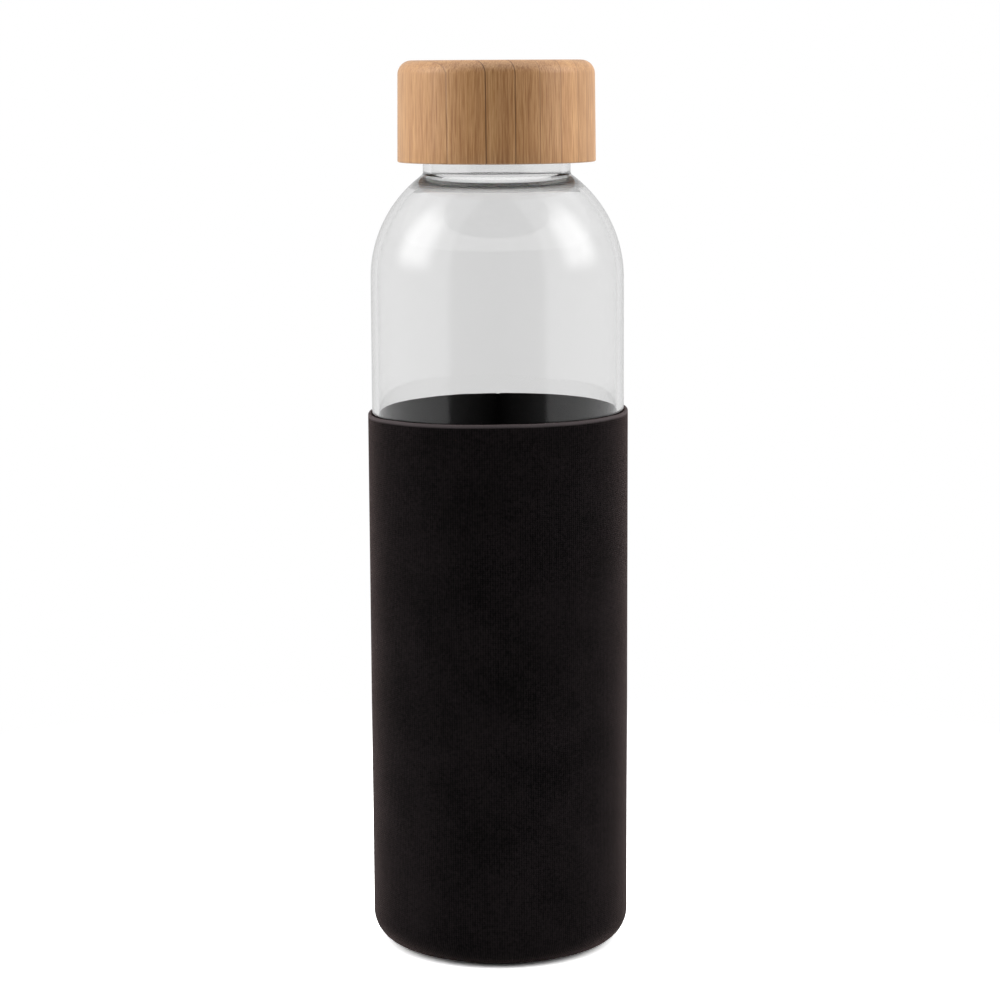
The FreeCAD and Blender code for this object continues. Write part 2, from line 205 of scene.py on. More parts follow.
# light: a soft box each side, a little behind, in a room that is white but for its front, in metres
# and degrees round from the front. A rise is how far up a direction points, from -1 to 1
studio = {
    "boxDistance": 0.95, "boxAngle": 92, "boxUp": 20, "boxWidth": 1.05, "boxHeight": 0.70,
    "boxWatts": 10.0, "aimHeight": 0.12,
    "fill": 0.03, "fillAbove": 2.3, "fillRise": (0.45, 0.95),  # what matt faces are lit by
    "dim": 0.32, "dimRise": (0.20, 0.45),  # the white backdrop ends above
    "round": ((0, 0.01), (26, 0.07), (43, 0.16), (48, 0.7), (66, 0.85), (103, 1.0), (140, 0.9), (180, 0.75)),
    "patchRound": (58, 78, 92, 116), "patchRise": (0.02, 0.28, 0.60, 0.86),  # a soft box, in a shiny face
    "patchLevel": 2.5,
}


def addSoftBox(name, side):
    # side -1 is left
    angle, rise = math.radians(studio["boxAngle"]), math.radians(studio["boxUp"])
    direction = Vector((side * math.sin(angle) * math.cos(rise), -math.cos(angle) * math.cos(rise), math.sin(rise)))
    light = bpy.data.lights.new(name, "AREA")
    light.shape = "RECTANGLE"
    light.size, light.size_y = studio["boxWidth"], studio["boxHeight"]
    light.energy = studio["boxWatts"]
    lamp = bpy.data.objects.new(name, light)
    lamp.location = Vector((0, 0, studio["aimHeight"])) + direction * studio["boxDistance"]
    lamp.rotation_euler = direction.to_track_quat("Z", "Y").to_euler()
    lamp.visible_glossy = lamp.visible_transmission = False  # shiny faces see the room's patches instead
    bpy.context.scene.collection.objects.link(lamp)


addSoftBox("softBoxLeft", -1)
addSoftBox("softBoxRight", 1)

world = bpy.data.worlds.new("studioRoom")
bpy.context.scene.world = world
world.use_nodes = True
room = world.node_tree
room.nodes.clear()
direction = addNode(room, "SeparateXYZ", in_Vector=addNode(room, "TexCoord").outputs["Generated"])
rise = direction.outputs["Z"]
sideways = addNode(room, "Math", {"operation": "ABSOLUTE"}, in_0=direction.outputs["X"])
forward = addNode(room, "Math", {"operation": "MULTIPLY"}, in_0=direction.outputs["Y"], in_1=-1.0)
angle = addNode(room, "Math", {"operation": "ARCTAN2"}, in_0=sideways, in_1=forward)
fromFront = addNode(room, "Math", {"operation": "DIVIDE"}, in_0=angle, in_1=math.pi)  # 0 front, 1 back

front = addNode(room, "ValToRGB", in_Fac=fromFront)
setStops(front, [(degrees / 180, (level, level, level, 1)) for degrees, level in studio["round"]])
patch = 1.0
patchTurns = [degrees / 180 for degrees in studio["patchRound"]]
for source, (outer, inner, innerFar, outerFar) in ((fromFront, patchTurns), (rise, studio["patchRise"])):
    for start, end in ((outer, inner), (outerFar, innerFar)):
        slope = addNode(room, "MapRange", {"interpolation_type": "SMOOTHSTEP"},
                        in_Value=source, in_From_Min=start, in_From_Max=end)
        patch = addNode(room, "Math", {"operation": "MULTIPLY"}, in_0=patch, in_1=slope)
shiny = addNode(room, "Math", {"operation": "MULTIPLY_ADD"}, in_0=patch, in_1=studio["patchLevel"], in_2=front)
fill, backdrop = (
    addNode(room, "MapRange", {"interpolation_type": "SMOOTHSTEP"}, in_Value=rise,
            in_From_Min=start, in_From_Max=end, in_To_Min=low, in_To_Max=high)
    for (start, end), low, high in ((studio["fillRise"], studio["fill"], studio["fillAbove"]),
                                    (studio["dimRise"], 1.0, studio["dim"])))

# straight through the glass is the white backdrop; a reflection on the way brings in the shiny room
ray = addNode(room, "LightPath").outputs
reflected = addNode(room, "Math", {"operation": "MINIMUM"}, in_0=ray["Glossy Depth"], in_1=1.0)
through = addNode(room, "Mix", in_0=reflected, in_2=backdrop, in_3=shiny)
seen = addNode(room, "Mix", in_0=ray["Is Glossy Ray"], in_2=fill, in_3=shiny)
seen = addNode(room, "Mix", in_0=ray["Is Transmission Ray"], in_2=seen, in_3=through)
seen = addNode(room, "Mix", in_0=ray["Is Camera Ray"], in_2=seen, in_3=1.0)
addNode(room, "OutputWorld", in_Surface=addNode(room, "Background", in_Color=seen))
bpy.context.scene.view_settings.view_transform = "Standard"


# table: a round of matt paper, lifted to white for the camera but for the shadow on it, and faded
# to plain white towards its rim
table = {"radius": 420, "paper": "#DEDEDE", "lift": 1.9, "fadeFrom": 0.288, "fadeTo": 0.72}

deselect()
bpy.ops.mesh.primitive_circle_add(vertices=96, radius=table["radius"] * mm, fill_type="NGON")
floor = bpy.context.object
floor.name = "floor"
paper, tree, shader = newMaterial("paperSweep", table["paper"], Roughness=0.9)  # matt paper, no gloss
spot = addNode(tree, "TexCoord").outputs["Object"]
reach = addNode(tree, "VectorMath", {"operation": "LENGTH"}, in_0=spot).outputs["Value"]
rimFade = addNode(tree, "MapRange", {"interpolation_type": "SMOOTHSTEP"}, in_Value=reach,
                  in_From_Min=table["radius"] * mm * table["fadeFrom"],
                  in_From_Max=table["radius"] * mm * table["fadeTo"])
lifted = addNode(tree, "BsdfDiffuse", in_Color=(table["lift"], table["lift"], table["lift"], 1))
plainWhite = addNode(tree, "Emission", in_Strength=1.0)
cameraSees = addNode(tree, "MixShader", in_0=rimFade, in_1=lifted, in_2=plainWhite)
anySees = addNode(tree, "MixShader", in_0=addNode(tree, "LightPath").outputs["Is Camera Ray"],
                  in_1=shader, in_2=cameraSees)
# from underneath the table is left out, so that the base can be looked at
facing = addNode(tree, "NewGeometry").outputs["Backfacing"]
underside = addNode(tree, "MixShader", in_0=facing, in_1=anySees, in_2=addNode(tree, "BsdfTransparent"))
tree.links.new(underside.outputs[0], tree.nodes["Material Output"].inputs["Surface"])
floor.data.materials.append(paper)
print("light and table set")


# glass bottle, in mm; the thread's turns and run-out are in turns
glassShape = {
    "wall": 1.7, "floor": 4.0, "floorCrown": 1.2, "punt": 2.0, "footWidth": 4.5, "heel": 7.0,
    "innerHeel": 5.5, "bodyHeight": 170.4, "neckRadius": 18.6, "neckWall": 2.1, "neckFillet": 1.2,
    "rootDepth": 23.0, "rootRound": 0.65, "rootJoin": 20.9, "rootLean": 1.7, "rootSatin": 0.45,
    "satinReach": 0.3, "satinBelow": 1.4, "satinAbove": 1.0,
    "lip": 0.8, "lipGap": 0.03, "threadPitch": 4.23, "threadTurns": 1.5, "threadDepth": 1.25,
    "threadDrop": 11.2, "threadWidth": 2.3, "threadRunOut": 0.07, "segments": 288,
}
foot = glassLow.z
rim = glassHigh.z - glassShape["lipGap"]  # the gasket above just clears it
domeHeight = foot + glassShape["bodyHeight"]
rootHeight = domeHeight + glassShape["rootDepth"]


def shoulderJoin(shellRadius, neck, rounding):
    # centre of a rounding between a dome about (0, 0) and a neck, and where it meets the dome
    rise = math.sqrt((shellRadius + rounding) ** 2 - (neck + rounding) ** 2)
    share = shellRadius / (shellRadius + rounding)
    return rise, (share * (neck + rounding), share * rise)


def glassOutline():
    # from the middle of the punt, up the outside, over the lip and down the inside to the floor
    g = glassShape
    lip, root = g["lip"], g["rootRound"]
    inner, neck, mouth = glassRadius - g["wall"], g["neckRadius"], g["neckRadius"] - g["neckWall"]
    heelCentre = glassRadius - g["heel"]
    footInner = heelCentre - g["footWidth"]
    dome = (0, domeHeight)
    puntSphere = (footInner ** 2 + g["punt"] ** 2) / (2 * g["punt"])
    neckRise, neckFoot = shoulderJoin(glassRadius, neck, g["neckFillet"])
    # the neck's root is heavier than the shoulder: the bore runs on below the dome and turns out with
    # a small round, then bends in to meet the dome
    join = (g["rootJoin"], domeHeight + math.sqrt(inner ** 2 - g["rootJoin"] ** 2))
    lean = g["rootLean"] / inner
    corner = (join[0] - lean * (join[1] - domeHeight), join[1] + lean * join[0])
    floorEdge = inner - g["innerHeel"]
    floorSphere = (floorEdge ** 2 + g["floorCrown"] ** 2) / (2 * g["floorCrown"])
    floorTop = foot + g["floor"]

    outline = [(0, foot + g["punt"])]
    arcTo(outline, (0, foot + g["punt"] - puntSphere), (footInner, foot), 1.0)
    lineTo(outline, (heelCentre, foot))
    arcTo(outline, (heelCentre, foot + g["heel"]), (glassRadius, foot + g["heel"]))
    lineTo(outline, (glassRadius, domeHeight), 8)
    arcTo(outline, dome, (neckFoot[0], domeHeight + neckFoot[1]), 2.0)
    arcTo(outline, (neck + g["neckFillet"], domeHeight + neckRise), (neck, domeHeight + neckRise), 9.0)
    lineTo(outline, (neck, rim - lip), 0.3)  # fine enough to raise the thread on
    arcTo(outline, (neck - lip, rim - lip), (neck - lip, rim), 15.0)
    lineTo(outline, (mouth + lip, rim))
    arcTo(outline, (mouth + lip, rim - lip), (mouth, rim - lip), 15.0)
    lineTo(outline, (mouth, rootHeight + root), 2)
    arcTo(outline, (mouth + root, rootHeight + root), (mouth + root, rootHeight), 9.0)
    bendTo(outline, corner, join)
    arcTo(outline, dome, (inner, domeHeight), 2.0)
    lineTo(outline, (inner, floorTop + g["innerHeel"]), 8)
    arcTo(outline, (floorEdge, floorTop + g["innerHeel"]), (floorEdge, floorTop))
    arcTo(outline, (0, floorTop + g["floorCrown"] - floorSphere), (0, floorTop + g["floorCrown"]), 1.0)
    return outline


def threadWeight(place):
    # how far up the thread's ridge a point on the neck is, with the ends blown out smooth
    g = glassShape
    if abs(math.hypot(place.x, place.y) - g["neckRadius"]) > 0.02:  # not on the neck's outside
        return 0
    around = math.atan2(place.y, place.x) / (2 * math.pi) % 1
    highest = 0
    for turn in (around, around + 1):
        if turn > g["threadTurns"]:
            continue
        middle = rim - g["threadDrop"] + turn * g["threadPitch"]
        across = min(1, abs(place.z - middle) / (g["threadWidth"] / 2))
        ends = min(1, turn / g["threadRunOut"], (g["threadTurns"] - turn) / g["threadRunOut"])
        highest = max(highest, (1 - across ** 2.6) * math.sin(ends * math.pi / 2))  # a full, rounded crest
    return highest


# borosilicate, blown in a mould: clear and faintly grey, with a drawn, very slightly wavy skin
glassMaterial, tree, shader = newMaterial("borosilicateBlown", "#EFEFEF", Roughness=0.0, IOR=1.473)
shader.inputs["Transmission Weight"].default_value = 1.0
spot = addNode(tree, "TexCoord").outputs["Object"]
stretched = addNode(tree, "Mapping", in_Vector=spot, in_Scale=(60, 60, 22))  # 17 to 45 mm swells
swell = addNode(tree, "TexNoise", in_Vector=stretched, in_Scale=1.0, in_Detail=1.0)
skin = addNode(tree, "Bump", in_Height=swell, in_Strength=0.012, in_Distance=0.4 * mm)
tree.links.new(skin.outputs[0], shader.inputs["Normal"])
# the tool that opened the neck left the glass uneven at its root, so its inside is drawn satin there
parts = addNode(tree, "SeparateXYZ", in_Vector=spot)
flat = addNode(tree, "CombineXYZ", in_X=parts.outputs["X"], in_Y=parts.outputs["Y"])
radial = addNode(tree, "VectorMath", {"operation": "LENGTH"}, in_0=flat).outputs["Value"]
satin = glassShape["rootSatin"]
for source, operation, limit in ((radial, "LESS_THAN", glassShape["rootJoin"] + glassShape["satinReach"]),
                                 (parts.outputs["Z"], "GREATER_THAN", rootHeight - glassShape["satinBelow"]),
                                 (parts.outputs["Z"], "LESS_THAN", rootHeight + glassShape["satinAbove"])):
    within = addNode(tree, "Math", {"operation": operation}, in_0=source, in_1=limit * mm)
    satin = addNode(tree, "Math", {"operation": "MULTIPLY"}, in_0=satin, in_1=within)
tree.links.new(satin.outputs[0], shader.inputs["Roughness"])

bottle = turnOutline("glassBottle", glassOutline(), glassShape["segments"])
weigh(bottle, "thread", threadWeight)
applyModifier(bottle, "DISPLACE", direction="NORMAL", mid_level=0, vertex_group="thread",
              strength=glassShape["threadDepth"] * mm)
bottle.vertex_groups.clear()
finishPiece(bottle, "bottle", glassMaterial, ["glass_bottle"], 50)


# bamboo cap, glued up from strips and turned, in mm and degrees. A glue line squeezed nearly dry
# hardly shows, so each has its own strength
capShape = {
    "wall": 2.9, "draft": 0.2, "round": 3.5, "edge": 0.4, "boreFit": 0.1, "segments": 288,
    "stripThickness": 6.1, "stripOffset": 2.0, "stripAngle": 35, "stripCount": 9, "firstLine": -4,
    "lineStrengths": (0.4, 1.0, 0.95, 0.55, 0.6, 0.5, 0.45, 0.6), "lineHalf": (0.15, 0.03),
    "cane": "#C29566", "darkCane": "#9E6E40", "bundle": "#8A5A31", "glue": "#5A381E",
    "stripTones": (0.88, 1.04), "roughness": (0.36, 0.5),
}
capBase, capTop = capLow.z, capHigh.z
capBore = max(linerHigh.x, -linerLow.x) + capShape["boreFit"]
capRadius = capBore + capShape["wall"]


def capOutline():
    c = capShape
    top = capRadius - c["draft"]
    outline = [(0, glueTop)]
    lineTo(outline, (capBore, glueTop))
    lineTo(outline, (capBore, capBase))
    lineTo(outline, (capRadius - c["edge"], capBase))
    arcTo(outline, (capRadius - c["edge"], capBase + c["edge"]), (capRadius, capBase + c["edge"]), 22)
    lineTo(outline, (top, capTop - c["round"]), 4)
    arcTo(outline, (top - c["round"], capTop - c["round"]), (top - c["round"], capTop), 9)
    lineTo(outline, (0, capTop), 4)
    return outline


def makeBamboo():
    # bamboo, laminated, turned and oiled: straight fibres, dark bundles that are dots on the end grain,
    # a slightly different tone in each strip and thin dark glue lines
    c = capShape
    material, tree, shader = newMaterial("bambooOiled", "#C0915F", Roughness=0.5, IOR=1.5)
    shader.inputs["Specular IOR Level"].default_value = 0.75  # the oil left on it
    spot = addNode(tree, "TexCoord").outputs["Object"]
    # in mm, with X across the strips
    turn = addNode(tree, "Mapping", in_Vector=spot, in_Scale=(1000, 1000, 1000),
                   in_Rotation=(0, 0, -math.radians(c["stripAngle"])))
    across = addNode(tree, "SeparateXYZ", in_Vector=turn).outputs["X"]
    across = addNode(tree, "Math", {"operation": "SUBTRACT"}, in_0=across, in_1=c["stripOffset"])
    strips = addNode(tree, "Math", {"operation": "DIVIDE"}, in_0=across, in_1=c["stripThickness"])
    number = addNode(tree, "Math", {"operation": "FLOOR"}, in_0=strips)
    perStrip = addNode(tree, "TexWhiteNoise", {"noise_dimensions": "1D"}, in_W=number)
    # each strip its own stretch of cane
    shift = addNode(tree, "VectorMath", {"operation": "MULTIPLY_ADD"},
                    in_0=perStrip.outputs["Color"], in_1=(37, 53, 71), in_2=turn)

    # fibres 0.3 mm across and about 8 mm long, and vessel bundles 0.35 mm across, one to every 0.8 mm
    fibreScale = addNode(tree, "Mapping", in_Vector=shift, in_Scale=(1, 1, 0.035))
    fibres = addNode(tree, "TexNoise", in_Vector=fibreScale, in_Scale=3.4, in_Detail=3.0, in_Roughness=0.65)
    bundles = addNode(tree, "TexVoronoi", in_Vector=fibreScale, in_Scale=1.3, in_Randomness=0.9)
    bundle = addNode(tree, "MapRange", {"interpolation_type": "SMOOTHSTEP"}, in_Value=bundles,
                     in_From_Min=0.34, in_From_Max=0.12)
    # broad bands a few mm wide, where the cane is denser towards its skin
    bandScale = addNode(tree, "Mapping", in_Vector=shift, in_Scale=(1, 1, 0.01))
    bands = addNode(tree, "TexNoise", in_Vector=bandScale, in_Scale=0.38, in_Detail=2.0)

    tone = addNode(tree, "ValToRGB", in_Fac=fibres)
    setStops(tone, [(0.33, linear(c["darkCane"])), (0.66, linear(c["cane"]))])
    banded = addNode(tree, "Mix", {"data_type": "RGBA", "blend_type": "SOFT_LIGHT"},
                     in_0=0.5, in_6=tone, in_7=bands).outputs[2]
    bundleShare = addNode(tree, "Math", {"operation": "MULTIPLY"}, in_0=bundle, in_1=0.6)
    darkened = addNode(tree, "Mix", {"data_type": "RGBA"},
                       in_0=bundleShare, in_6=banded, in_7=linear(c["bundle"])).outputs[2]
    stripTone = addNode(tree, "MapRange", in_Value=perStrip.outputs["Value"],
                        in_To_Min=c["stripTones"][0], in_To_Max=c["stripTones"][1])
    toned = addNode(tree, "VectorMath", {"operation": "SCALE"}, in_0=darkened, in_Scale=stripTone)

    # glue lines, by mm to the nearest joint
    toJoint = addNode(tree, "Math", {"operation": "PINGPONG"}, in_0=strips, in_1=0.5)
    toJoint = addNode(tree, "Math", {"operation": "MULTIPLY"}, in_0=toJoint, in_1=c["stripThickness"])
    line = addNode(tree, "MapRange", {"interpolation_type": "SMOOTHSTEP"}, in_Value=toJoint,
                   in_From_Min=c["lineHalf"][0], in_From_Max=c["lineHalf"][1])
    joint = addNode(tree, "Math", {"operation": "ADD"}, in_0=strips, in_1=0.5 - c["firstLine"])
    joint = addNode(tree, "Math", {"operation": "FLOOR"}, in_0=joint)
    count = len(c["lineStrengths"])
    strength = addNode(tree, "ValToRGB", in_Fac=addNode(
        tree, "Math", {"operation": "DIVIDE"}, in_0=joint, in_1=count))
    strength.color_ramp.interpolation = "CONSTANT"
    stops = [(max(0, i / count - 0.03), (s, s, s, 1)) for i, s in enumerate(c["lineStrengths"])]
    setStops(strength, stops + [(1.0, stops[-1][1])])
    lineShare = addNode(tree, "Math", {"operation": "MULTIPLY"}, in_0=line, in_1=strength)
    glued = addNode(tree, "Mix", {"data_type": "RGBA"}, in_0=lineShare, in_6=toned, in_7=linear(c["glue"]))
    tree.links.new(glued.outputs[2], shader.inputs["Base Color"])

    rough = addNode(tree, "MapRange", in_Value=fibres,
                    in_To_Min=c["roughness"][0], in_To_Max=c["roughness"][1])
    tree.links.new(rough.outputs[0], shader.inputs["Roughness"])
    hollows = addNode(tree, "Math", {"operation": "MULTIPLY_ADD"}, in_0=bundle, in_1=0.3, in_2=line)
    height = addNode(tree, "Math", {"operation": "SUBTRACT"}, in_0=fibres, in_1=hollows)
    grain = addNode(tree, "Bump", in_Height=height, in_Strength=0.35, in_Distance=0.05 * mm)
    tree.links.new(grain.outputs[0], shader.inputs["Normal"])
    return material


def cutAcross(piece, offset, keepHigher):
    # bisects a piece at a glue line and closes the cut
    angle = math.radians(capShape["stripAngle"])
    across = Vector((math.cos(angle), math.sin(angle), 0))
    pick(piece)
    bpy.ops.object.mode_set(mode="EDIT")
    bpy.ops.mesh.select_all(action="SELECT")
    bpy.ops.mesh.bisect(plane_co=across * offset * mm, plane_no=across, use_fill=True,
                        clear_inner=keepHigher, clear_outer=not keepHigher)
    bpy.ops.object.mode_set(mode="OBJECT")


def makeStrips(material):
    c = capShape
    blank = turnOutline("capBlank", capOutline(), c["segments"])
    for i in range(c["stripCount"]):
        pick(blank)
        bpy.ops.object.duplicate()
        strip = bpy.context.object
        strip.name = strip.data.name = f"capStrip{i + 1}"
        line = c["stripOffset"] + (c["firstLine"] + i) * c["stripThickness"]  # the glue line above this strip
        if i > 0:
            cutAcross(strip, line - c["stripThickness"], True)
        if i < c["stripCount"] - 1:
            cutAcross(strip, line, False)
        finishPiece(strip, "cap", material, [f"cap_strip_{i + 1}"], 40)
    bpy.data.objects.remove(blank)


makeStrips(makeBamboo())


# liner, glue and gasket: the CAD shapes with their own materials
def dressNode(node, material):
    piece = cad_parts[node]
    piece.data.materials.clear()
    piece.data.materials.append(material)


# polypropylene, injection moulded: waxy white, faint flow marks and a satin skin.
# silicone, compression moulded: milky, soft and dull
for node, name, tint, roughness, ior, milky, depth, fineness, strength, height in (
        ("thread_liner", "polypropyleneMoulded", "#E9E7E0", 0.42, 1.49, 0.15, 1.2, 900.0, 0.12, 0.03),
        ("cap_gasket", "siliconeMoulded", "#DCDCD6", 0.55, 1.41, 0.4, 2.0, 1400.0, 0.15, 0.02)):
    material, tree, shader = newMaterial(name, tint, Roughness=roughness, IOR=ior,
                                         Subsurface_Weight=milky, Subsurface_Scale=depth * mm)
    spot = addNode(tree, "TexCoord").outputs["Object"]
    marks = addNode(tree, "TexNoise", in_Vector=spot, in_Scale=fineness, in_Detail=2.0)
    skin = addNode(tree, "Bump", in_Height=marks, in_Strength=strength, in_Distance=height * mm)
    tree.links.new(skin.outputs[0], shader.inputs["Normal"])
    dressNode(node, material)

# hot-melt glue, spread: cloudy amber
glueMaterial, tree, shader = newMaterial("hotMeltSpread", "#D3BC86", Roughness=0.35, IOR=1.48)
spot = addNode(tree, "TexCoord").outputs["Object"]
cloudy = addNode(tree, "ValToRGB", in_Fac=addNode(tree, "TexNoise", in_Vector=spot, in_Scale=350.0, in_Detail=3.0))
setStops(cloudy, [(0, linear("#C4A968")), (1, linear("#E0CFA2"))])
tree.links.new(cloudy.outputs[0], shader.inputs["Base Color"])
dressNode("liner_glue", glueMaterial)
print("liner, gasket and glue dressed")


# sleeve, in mm. The cut top edge wanders a little and stands higher on the right and at the back
sleeveShape = {
    "bore": 32.12, "topRadius": 33.02, "lowRadius": 32.8, "heel": 7.0, "base": 0.95, "topDrop": 0.35,
    "rimRound": 0.28, "innerRound": 0.15, "seamRadius": 24.7, "seamGap": 0.05, "seamDepth": 0.35, "seamBand": 2.3,
    "rimWander": 0.5, "wanderSize": 22, "wanderReach": 14, "rimTilt": 0.35, "rimBack": 1.25, "tiltReach": 40,
    "seamHalf": 0.7, "seamCuts": (-0.7, -0.3, -0.1, 0.1, 0.3, 0.7), "seamPull": 0.32,
    "cutWidth": 197, "cutLength": 141, "segments": 288, "wale": 0.62, "course": 0.5,
    # foam: the pale foam of the cut edge, also painted a little way down the outside of the rim as a painted highlight
    "dye": "#181415", "shade": "#010101", "foam": "#4A4445", "bloom": "#BEA4A0",
}


def wallOutline():
    # the wall's section: up the outside from the base seam, over the cut edge and down the inside
    s = sleeveShape
    top, bore, topRadius, depth = rimTop - s["topDrop"], s["bore"], s["topRadius"], s["seamDepth"]
    lip, heelCentre = s["seamRadius"] + s["seamGap"], glassRadius - s["heel"]
    centre = (heelCentre, s["base"] + s["heel"])
    bandEdge = heelCentre + math.sqrt((s["lowRadius"] - heelCentre) ** 2 - (centre[1] - depth) ** 2)
    innerHeel = centre[1] - (bore - heelCentre)
    edge, inside = s["rimRound"], s["innerRound"]
    outline = [(lip, depth)]
    lineTo(outline, (bandEdge, depth), 0.8)
    arcTo(outline, centre, (s["lowRadius"], centre[1]), 5)
    lineTo(outline, (topRadius, top - edge), 1.6)
    arcTo(outline, (topRadius - edge, top - edge), (topRadius - edge, top), 20)
    lineTo(outline, (bore + inside, top), 0.25)
    arcTo(outline, (bore + inside, top - inside), (bore, top - inside), 30)
    lineTo(outline, (bore, centre[1]), 1.6)
    arcTo(outline, centre, (heelCentre, innerHeel), 8)
    lineTo(outline, (lip, innerHeel))
    return outline


def seamLines(piece):
    # edge loops up the back for the butt seam, cut by bisecting there
    bpy.ops.object.mode_set(mode="EDIT")
    for offset in sleeveShape["seamCuts"]:
        bpy.ops.mesh.select_all(action="DESELECT")
        bpy.ops.object.mode_set(mode="OBJECT")
        for face in piece.data.polygons:
            face.select = face.center.y > 0 and abs(face.center.x) < 3 * mm
        bpy.ops.object.mode_set(mode="EDIT")
        bpy.ops.mesh.bisect(plane_co=(offset * mm, 0, 0), plane_no=(1, 0, 0))
    bpy.ops.object.mode_set(mode="OBJECT")


def seamWeight(place):
    # 1 in the joint itself, running out at the seam's edge; none inside the sleeve
    s = sleeveShape
    if place.y < 0 or abs(place.x) > s["seamHalf"]:
        return 0
    if math.hypot(place.x, place.y) < s["bore"] + 0.05 and place.z > s["heel"]:
        return 0
    return (1 - abs(place.x) / s["seamHalf"]) ** 1.5


def layUv(piece, radius):
    # mm round the sleeve and mm up it, so that the knit follows the surface
    layer = piece.data.uv_layers.new(name="knit")
    for face in piece.data.polygons:
        middle = math.atan2(face.center.y, face.center.x)
        for loop in face.loop_indices:
            co = piece.data.vertices[piece.data.loops[loop].vertex_index].co
            angle = math.atan2(co.y, co.x)
            angle += 2 * math.pi * round((middle - angle) / (2 * math.pi))
            radial = math.hypot(co.x, co.y) / mm
            layer.data[loop].uv = (angle * radius, co.z / mm + min(0, radial - radius))


def makeKnit():
    # neoprene: foam rubber with a fine knit jersey on each face, dyed black, matt with a soft bloom at
    # grazing angles; the knit's wales are 0.35 mm, drawn at 0.62 mm so that they show
    s = sleeveShape
    material, tree, shader = newMaterial("neopreneJersey", "#1B1819", Roughness=0.9, IOR=1.5, Sheen_Weight=0.33,
                                         Sheen_Roughness=0.27, Specular_IOR_Level=0.05)
    shader.inputs["Sheen Tint"].default_value = linear(s["bloom"])
    knit = addNode(tree, "UVMap", {"uv_map": "knit"})
    spot = addNode(tree, "TexCoord").outputs["Object"]
    parts = addNode(tree, "SeparateXYZ", in_Vector=knit).outputs
    wales = addNode(tree, "Math", {"operation": "DIVIDE"}, in_0=parts["X"], in_1=s["wale"])
    courses = addNode(tree, "Math", {"operation": "DIVIDE"}, in_0=parts["Y"], in_1=s["course"])
    across = addNode(tree, "Math", {"operation": "PINGPONG"}, in_0=wales, in_1=0.5)  # 0.5 on a wale's middle
    leaning = addNode(tree, "Math", {"operation": "ADD"}, in_0=courses, in_1=across)  # the two legs of each V
    leg = addNode(tree, "Math", {"operation": "PINGPONG"}, in_0=leaning, in_1=0.5)
    leg = addNode(tree, "Math", {"operation": "ADD"}, in_0=leg, in_1=0.3)
    crest = addNode(tree, "Math", {"operation": "SQRT"}, in_0=across)
    loops = addNode(tree, "Math", {"operation": "MULTIPLY"}, in_0=leg, in_1=crest)
    fuzz = addNode(tree, "TexNoise", in_Vector=spot, in_Scale=1300.0, in_Detail=3.0, in_Roughness=0.7)
    wear = addNode(tree, "TexNoise", in_Vector=spot, in_Scale=70.0, in_Detail=3.0)
    shade = addNode(tree, "Math", {"operation": "MULTIPLY"}, in_0=wear, in_1=0.25)
    shade = addNode(tree, "Math", {"operation": "MULTIPLY_ADD"}, in_0=fuzz, in_1=0.5, in_2=shade)
    shade = addNode(tree, "Math", {"operation": "MULTIPLY_ADD"}, in_0=loops, in_1=0.5, in_2=shade)
    dye = addNode(tree, "ValToRGB", in_Fac=shade)
    setStops(dye, [(0.4, linear(s["shade"])), (0.62, linear(s["dye"]))])
    # the cut edge shows the foam, paler than the knit; the same pale colour runs down the outside of the rim as a
    # painted highlight where the rounded rim catches the light
    edge = addNode(tree, "MapRange", in_Value=parts["Y"], in_From_Min=rimTop - 1.3, in_From_Max=rimTop - 0.8)
    dyedWithRimHighlight = addNode(tree, "Mix", {"data_type": "RGBA"}, in_0=edge, in_6=dye, in_7=linear(s["foam"]))
    tree.links.new(dyedWithRimHighlight.outputs[2], shader.inputs["Base Color"])
    height = addNode(tree, "Math", {"operation": "MULTIPLY_ADD"}, in_0=fuzz, in_1=0.5, in_2=loops)
    surface = addNode(tree, "Bump", in_Height=height, in_Strength=0.9, in_Distance=0.14 * mm)
    tree.links.new(surface.outputs[0], shader.inputs["Normal"])
    return material


def makeWall(material):
    s = sleeveShape
    wall = turnOutline("sleeveWall", wallOutline(), s["segments"], closed=True)
    pick(wall)
    seamLines(wall)
    weigh(wall, "seam", seamWeight)
    applyModifier(wall, "DISPLACE", direction="NORMAL", mid_level=0, vertex_group="seam", strength=-s["seamPull"] * mm)
    layUv(wall, s["topRadius"])
    wander = bpy.data.textures.new("rimWander", "CLOUDS")
    wander.noise_scale = s["wanderSize"] * mm
    weigh(wall, "rim", lambda place: max(0, 1 - (rimTop - place.z) / s["wanderReach"]))
    applyModifier(wall, "DISPLACE", direction="Z", mid_level=0.5, vertex_group="rim", texture=wander,
                  texture_coords="LOCAL", strength=s["rimWander"] * mm)
    for vertex in wall.data.vertices:
        share = max(0, 1 - (rimTop - vertex.co.z / mm) / s["tiltReach"])
        lift = s["rimTilt"] * vertex.co.x + s["rimBack"] * max(0, vertex.co.y)
        vertex.co.z += lift * share / s["topRadius"]
    wall.vertex_groups.clear()
    finishPiece(wall, "sleeve", material, ["sleeve_wall"], 45)
    return wall


def makeBase(material):
    s = sleeveShape
    edge, band = s["seamRadius"] - s["seamGap"], s["seamRadius"] - s["seamBand"]
    outline = [(0, 0)]
    lineTo(outline, (band, 0), 2.5)
    lineTo(outline, (band + 0.5, s["seamDepth"] * 0.8))  # the seam pulls the cloth in
    lineTo(outline, (edge, s["seamDepth"]), 0.8)
    lineTo(outline, (edge, s["base"]))
    lineTo(outline, (0, s["base"]), 2.5)
    base = turnOutline("sleeveBase", outline, s["segments"])
    layUv(base, s["topRadius"])
    finishPiece(base, "sleeve", material, ["sleeve_base"], 45)
    return base


neoprene = makeKnit()
wall = makeWall(neoprene)
base = makeBase(neoprene)


